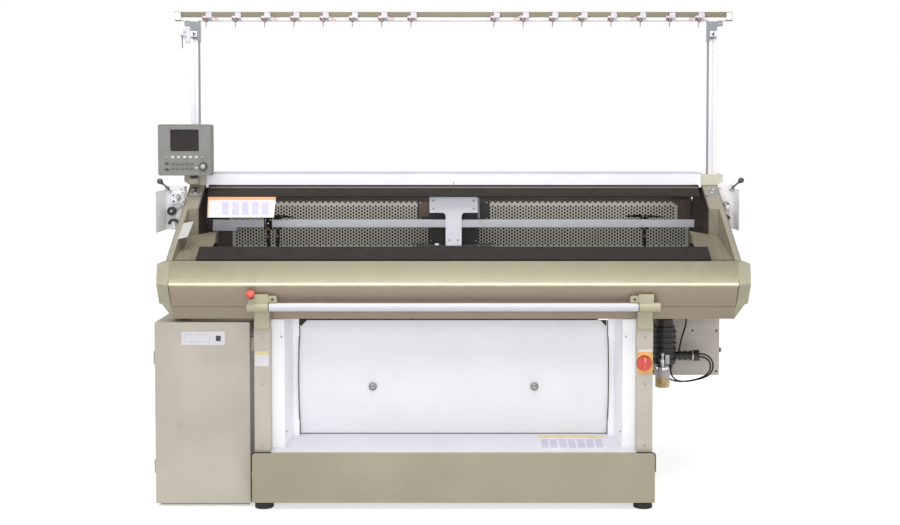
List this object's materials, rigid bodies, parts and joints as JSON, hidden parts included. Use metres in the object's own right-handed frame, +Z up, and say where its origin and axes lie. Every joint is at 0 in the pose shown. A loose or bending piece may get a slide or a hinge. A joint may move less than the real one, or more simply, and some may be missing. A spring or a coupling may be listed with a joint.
{
  "type": "flat knitting machine",
  "caption": "Computerised flat knitting machine: sloped clear hood over two needle beds with a travelling carriage, yarn rail on masts, control panel, cabinet and white take-down cover.",
  "frame": {"origin": "on the floor under the middle of the bounding box", "axes": "+X to the operator's right along the beds, +Y to the back, +Z up"},
  "size_m": [2.78, 0.923, 2.258],
  "materials": {
    "frame_paint": "fine satin powder coat",
    "beam_paint": "smooth satin paint",
    "cap_plastic": "moulded, painted",
    "hood_paint": "satin paint",
    "cabinet_paint": "fine textured powder coat",
    "kick_paint": "satin powder coat",
    "white_paint": "satin paint",
    "screen_paint": "perforated sheet, satin paint",
    "silver_aluminium": "satin anodised",
    "bridge_paint": "smooth light paint",
    "cam_paint": "matt black paint",
    "girder_iron": "painted casting",
    "bed_steel": "ground steel",
    "guide_steel": "ground steel",
    "motor_paint": "black paint",
    "belt_rubber": "toothed belt",
    "roller_rubber": "rubber lagging",
    "carrier_metal": "dark plated",
    "window_acrylic": "clear acrylic",
    "window_black": "black anodised",
    "mast_aluminium": "white coated extrusion",
    "rail_olive": "olive paint",
    "tensioner_plastic": "moulded",
    "panel_plastic": "moulded",
    "screen_glass": "dark display",
    "dial_plastic": "moulded",
    "arm_metal": "dark paint",
    "stand_paint": "cream satin paint",
    "lever_metal": "shaft with black ball knob",
    "chrome": "bright plating",
    "stop_red": "moulded",
    "switch_yellow": "moulded",
    "switch_red": "moulded",
    "foot_rubber": "rubber and steel foot",
    "rack_metal": "zinc plated",
    "box_paint": "satin paint",
    "oil_plastic": "translucent bowl, plated cap",
    "cable_pvc": "black sheath"
  },
  "bodies": {
    "machine": {"side_frames": "frame_paint", "levelling_feet": "foot_rubber", "lower_cross_beam": "frame_paint", "kick_cover": "kick_paint", "front_beam_cover": "beam_paint", "beam_end_caps": "cap_plastic", "side_cheeks": "hood_paint", "deck_housings": "beam_paint", "rear_beam_cover": "beam_paint", "perforated_screen": "screen_paint", "top_beam": "white_paint", "mast_bases": "beam_paint", "bed_girder": "girder_iron", "front_needle_bed": "bed_steel", "carriage_guides": "guide_steel", "yarn_rails": "silver_aluminium", "drive_belt": "belt_rubber", "drive_motor": "motor_paint", "racking_motor": "motor_paint", "take_down_motor": "motor_paint", "take_down_cover": "white_paint", "fabric_tray": "white_paint", "side_panels": "white_paint", "handrail_brackets": "beam_paint", "masts": "mast_aluminium", "top_rail": "rail_olive", "top_tensioners": "tensioner_plastic", "side_yarn_stands": "stand_paint", "side_tensioners": "chrome", "switch_plate": "switch_yellow", "cabinet_shell": "cabinet_paint", "controller_rack": "rack_metal", "junction_box": "box_paint", "suction_motor": "motor_paint", "oiler": "oil_plastic", "front_cable": "cable_pvc", "rear_cable": "cable_pvc"},
    "carriage": {"carriage_bridge": "bridge_paint", "front_cam_box": "cam_paint", "rear_cam_box": "cam_paint"},
    "rear_bed": {"rear_needle_bed": "bed_steel"},
    "carrier_1": {"yarn_carrier_1": "carrier_metal"},
    "carrier_2": {"yarn_carrier_2": "carrier_metal"},
    "carrier_3": {"yarn_carrier_3": "carrier_metal"},
    "left_pulley": {"left_belt_pulley": "guide_steel"},
    "right_pulley": {"right_belt_pulley": "guide_steel"},
    "front_roller": {"front_take_down_roller": "roller_rubber"},
    "rear_roller": {"rear_take_down_roller": "roller_rubber"},
    "bar": {"handrail": "white_paint"},
    "stop_mushroom": {"stop_button": "stop_red"},
    "window": {"window_pane": "window_acrylic", "window_rails": "window_black"},
    "arm": {"panel_arm": "arm_metal"},
    "panel": {"panel_housing": "panel_plastic", "panel_screen": "screen_glass"},
    "dial": {"panel_dial": "dial_plastic"},
    "left_lever": {"left_stand_lever": "lever_metal"},
    "right_lever": {"right_stand_lever": "lever_metal"},
    "switch": {"switch_knob": "switch_red"},
    "door": {"cabinet_door": "cabinet_paint"}
  },
  "joints": [
    {"name": "carriage_travel", "type": "slide", "parent": "machine", "child": "carriage", "axis": [1, 0, 0], "range_m": [-0.88, 0.88]},
    {"name": "racking", "type": "slide", "parent": "machine", "child": "rear_bed", "axis": [1, 0, 0], "range_m": [-0.025, 0.025]},
    {"name": "carrier_1_travel", "type": "slide", "parent": "machine", "child": "carrier_1", "axis": [1, 0, 0], "range_m": [-0.18, 1.96]},
    {"name": "carrier_2_travel", "type": "slide", "parent": "machine", "child": "carrier_2", "axis": [1, 0, 0], "range_m": [-0.22, 1.92]},
    {"name": "carrier_3_travel", "type": "slide", "parent": "machine", "child": "carrier_3", "axis": [1, 0, 0], "range_m": [-1.99, 0.15]},
    {"name": "left_pulley_spin", "type": "hinge", "parent": "machine", "child": "left_pulley", "pos_m": [-1.12, -0.18051, 1.01], "axis": [0, 1, 0], "range_deg": [-1480, 1480]},
    {"name": "right_pulley_spin", "type": "hinge", "parent": "machine", "child": "right_pulley", "pos_m": [1.12, -0.18051, 1.01], "axis": [0, 1, 0], "range_deg": [-1480, 1480]},
    {"name": "front_roller_spin", "type": "hinge", "parent": "machine", "child": "front_roller", "pos_m": [0, 0.04899, 0.8], "axis": [1, 0, 0], "continuous": true},
    {"name": "rear_roller_spin", "type": "hinge", "parent": "machine", "child": "rear_roller", "pos_m": [0, 0.11399, 0.8], "axis": [1, 0, 0], "continuous": true},
    {"name": "handrail_turn", "type": "hinge", "parent": "machine", "child": "bar", "pos_m": [0, -0.41951, 0.908], "axis": [1, 0, 0], "range_deg": [-15, 15], "stiffness_Nm_per_rad": 4},
    {"name": "stop_press", "type": "slide", "parent": "machine", "child": "stop_mushroom", "axis": [0.1495, 0.598, -0.7874], "range_m": [0, 0.005], "stiffness_N_per_m": 2000},
    {"name": "window_lift", "type": "hinge", "parent": "machine", "child": "window", "pos_m": [0, 0.05549, 1.4195], "axis": [1, 0, 0], "range_deg": [-52, 0]},
    {"name": "panel_swivel", "type": "hinge", "parent": "machine", "child": "arm", "pos_m": [-1.24, 0.04349, 1.4445], "axis": [0, 0, 1], "range_deg": [-20, 20]},
    {"name": "panel_tilt", "type": "hinge", "parent": "arm", "child": "panel", "pos_m": [-1.24, 0.04349, 1.58], "axis": [1, 0, 0], "range_deg": [-20, 5]},
    {"name": "dial_turn", "type": "hinge", "parent": "panel", "child": "dial", "pos_m": [-1.1726, -0.05851, 1.517], "axis": [0, 1, 0], "continuous": true},
    {"name": "left_lever_turn", "type": "hinge", "parent": "machine", "child": "left_lever", "pos_m": [-1.326, -0.06451, 1.406], "axis": [0, 1, 0], "range_deg": [-25, 0]},
    {"name": "right_lever_turn", "type": "hinge", "parent": "machine", "child": "right_lever", "pos_m": [1.326, 0.05349, 1.406], "axis": [0, 1, 0], "range_deg": [-25, 0]},
    {"name": "main_switch_turn", "type": "hinge", "parent": "machine", "child": "switch", "pos_m": [0.843, -0.39351, 0.656], "axis": [0, 1, 0], "range_deg": [0, 90]},
    {"name": "cabinet_door_swing", "type": "hinge", "parent": "machine", "child": "door", "pos_m": [-1.3365, -0.34051, 0.4], "axis": [0, 0, 1], "range_deg": [-110, 0]}
  ],
  "couplings": [
    {"joint": "left_pulley_spin", "follows": "carriage_travel", "rad_per_m": 28.986},
    {"joint": "right_pulley_spin", "follows": "carriage_travel", "rad_per_m": 28.986},
    {"joint": "rear_roller_spin", "follows": "front_roller_spin", "ratio": -1}
  ]
}
